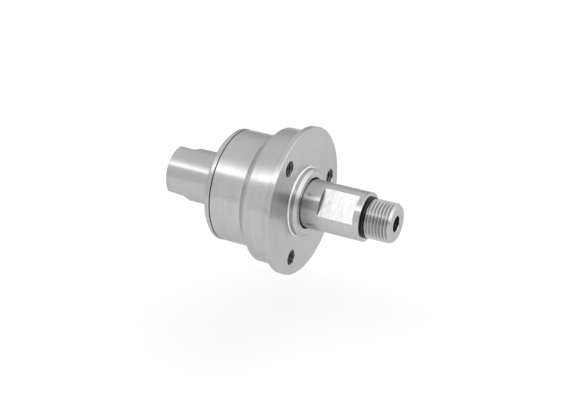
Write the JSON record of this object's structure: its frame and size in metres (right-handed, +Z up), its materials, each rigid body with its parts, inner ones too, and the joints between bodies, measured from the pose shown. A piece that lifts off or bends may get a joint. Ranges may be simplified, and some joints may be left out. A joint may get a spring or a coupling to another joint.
{
  "type": "hydraulic rotary union",
  "caption": "Flange-mounted hydraulic rotary union: a bored shaft with a threaded outlet turns in a stepped steel housing fed through a rear threaded port.",
  "frame": {"origin": "centre of the bolt circle on the flange's front face", "axes": "+X along the shaft from the inlet port to the outlet thread, +Z up"},
  "size_m": [0.128, 0.0786, 0.0786],
  "materials": {
    "housing_steel": "turned stainless steel",
    "cover_steel": "turned stainless steel",
    "shaft_steel": "turned and ground stainless steel",
    "bearing_steel": "ground bearing steel",
    "pressed_steel": "pressed sheet steel",
    "spring_steel": "spring steel",
    "nitrile_rubber": "black moulded rubber",
    "cage_polymer": "glass filled polyamide",
    "backup_polymer": "filled fluoropolymer",
    "carbon": "lapped carbon graphite",
    "seat_ceramic": "lapped hard ceramic"
  },
  "bodies": {
    "housing": {"housing": "housing_steel", "inlet_cover": "cover_steel", "cover_o_ring": "nitrile_rubber", "bearing_shim": "bearing_steel", "outer_spacer": "bearing_steel", "shaft_seal_case": "pressed_steel", "shaft_seal_lip": "nitrile_rubber", "shaft_seal_spring": "spring_steel", "front_bearing_outer_ring": "bearing_steel", "front_bearing_shields": "pressed_steel", "rear_bearing_outer_ring": "bearing_steel", "rear_bearing_shields": "pressed_steel", "seal_spring": "spring_steel", "anti_rotation_pins": "spring_steel"},
    "shaft": {"shaft": "shaft_steel", "outlet_o_ring": "nitrile_rubber", "front_bearing_inner_ring": "bearing_steel", "inner_spacer": "bearing_steel", "rear_bearing_inner_ring": "bearing_steel", "support_washer": "spring_steel", "retaining_ring": "spring_steel", "seal_seat_ring": "seat_ceramic", "seal_seat_o_ring": "nitrile_rubber"},
    "front_cage": {"front_bearing_cage": "cage_polymer", "front_bearing_balls": "bearing_steel"},
    "rear_cage": {"rear_bearing_cage": "cage_polymer", "rear_bearing_balls": "bearing_steel"},
    "floating_seal": {"seal_carrier": "shaft_steel", "seal_face_ring": "carbon", "seal_face_o_ring": "nitrile_rubber", "seal_carrier_o_ring": "nitrile_rubber", "seal_backup_ring": "backup_polymer"}
  },
  "joints": [
    {"name": "shaft_spin", "type": "hinge", "parent": "housing", "child": "shaft", "pos_m": [0, 0, 0], "axis": [1, 0, 0], "continuous": true},
    {"name": "front_cage_spin", "type": "hinge", "parent": "housing", "child": "front_cage", "pos_m": [-0.014, 0, 0], "axis": [1, 0, 0], "continuous": true},
    {"name": "rear_cage_spin", "type": "hinge", "parent": "housing", "child": "rear_cage", "pos_m": [-0.027, 0, 0], "axis": [1, 0, 0], "continuous": true},
    {"name": "seal_float", "type": "slide", "parent": "housing", "child": "floating_seal", "axis": [-1, 0, 0], "range_m": [0, 0.0008], "stiffness_N_per_m": 1500, "springref_m": -0.004, "deforming": ["seal_spring"]}
  ],
  "couplings": [
    {"joint": "front_cage_spin", "follows": "shaft_spin", "ratio": 0.4118},
    {"joint": "rear_cage_spin", "follows": "shaft_spin", "ratio": 0.4118}
  ]
}
